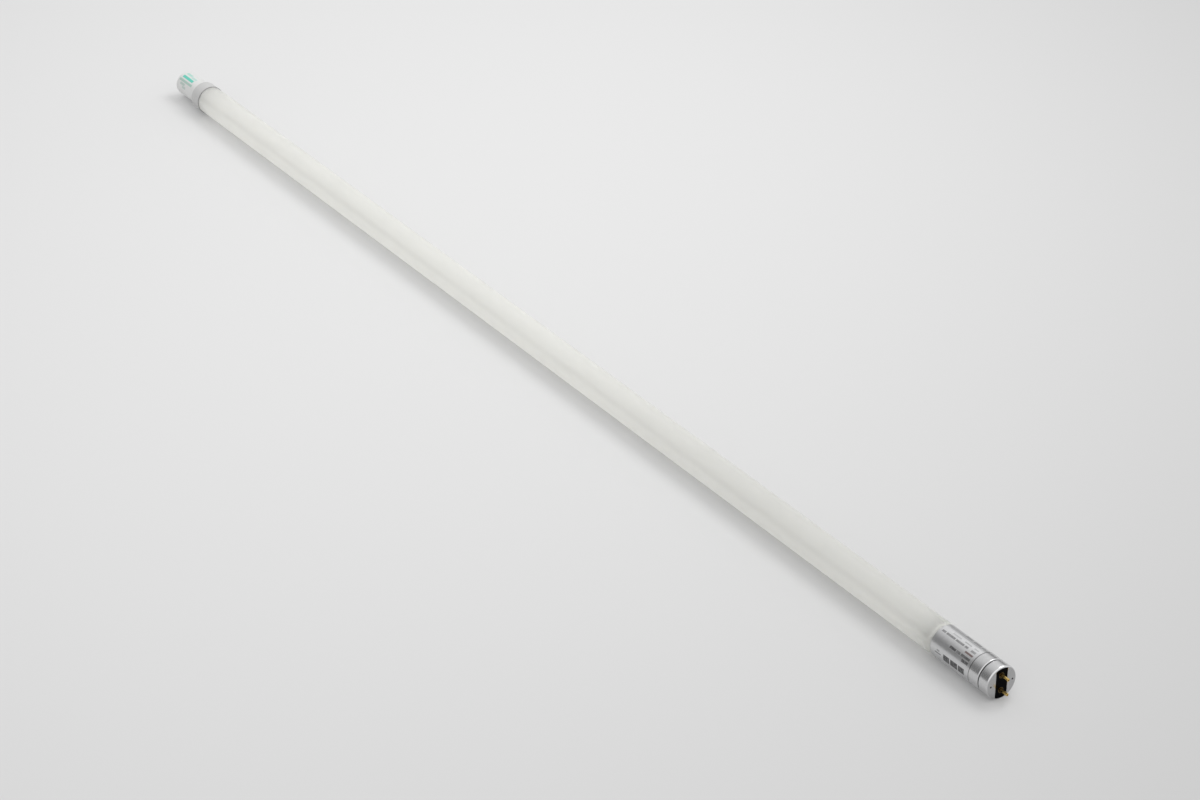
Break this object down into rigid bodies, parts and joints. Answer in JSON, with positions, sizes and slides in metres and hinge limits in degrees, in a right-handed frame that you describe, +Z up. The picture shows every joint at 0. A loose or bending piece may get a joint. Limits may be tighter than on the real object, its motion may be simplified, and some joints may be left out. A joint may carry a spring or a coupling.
{
  "type": "led tube lamp",
  "caption": "Straight frosted glass led tube lamp with slotted metal end caps, brass contact pins and a push-on cover over the pins at its far end.",
  "frame": {"origin": "on the table under the middle of the whole length, between the bare pin tips and the cover's end", "axes": "+X along the tube towards the bare pins, +Z up, with the bare pins one above the other"},
  "size_m": [1.2404, 0.0274, 0.0273],
  "materials": {
    "frosted_glass": "inside coated milky white, smooth outside",
    "label_foil": "matte silver foil with plain dark print bars",
    "cap_metal": "satin drawn sheet",
    "insulator_black": "moulded, glossy",
    "contact_brass": "drawn, slightly dull",
    "cap_cement": "cured adhesive",
    "cover_white": "moulded, with plain green print bars",
    "board_white": "printed board, white mask",
    "silicone_bed": "cured silicone",
    "led_body": "phosphor in a white frame",
    "board_green": "printed board, green mask",
    "sleeve_film": "polyester film",
    "wire_jacket": "silicone insulated wire",
    "tinned_wire": "tinned copper",
    "part_ceramic": "ceramic tube",
    "part_blue": "epoxy coated disc",
    "part_black": "moulded package",
    "part_yellow": "potted box",
    "ferrite": "sintered ferrite",
    "winding_copper": "enamelled winding",
    "can_sleeve": "sleeved can"
  },
  "bodies": {
    "root": {"glass_tube": "frosted_glass", "rating_label": "label_foil", "near_cap_shell": "cap_metal", "far_cap_shell": "cap_metal", "near_insulator": "insulator_black", "far_insulator": "insulator_black", "near_pin_upper": "contact_brass", "near_pin_lower": "contact_brass", "far_pin_upper": "contact_brass", "far_pin_lower": "contact_brass", "near_cap_cement": "cap_cement", "far_cap_cement": "cap_cement", "pin_cover": "cover_white", "led_board": "board_white", "board_adhesive": "silicone_bed", "leds": "led_body", "driver_board": "board_green", "driver_sleeve": "sleeve_film", "near_lead_upper": "wire_jacket", "near_lead_lower": "wire_jacket", "far_pin_link": "tinned_wire", "fuse": "part_ceramic", "varistor": "part_blue", "bridge_rectifier": "part_black", "film_capacitor": "part_yellow", "filter_core": "ferrite", "filter_winding": "winding_copper", "bulk_capacitor": "can_sleeve", "driver_chip": "part_black", "output_diode": "part_black", "transformer_core": "ferrite", "transformer_winding": "winding_copper", "output_capacitor": "can_sleeve", "header_body": "part_black", "header_pins": "tinned_wire"}
  },
  "joints": []
}
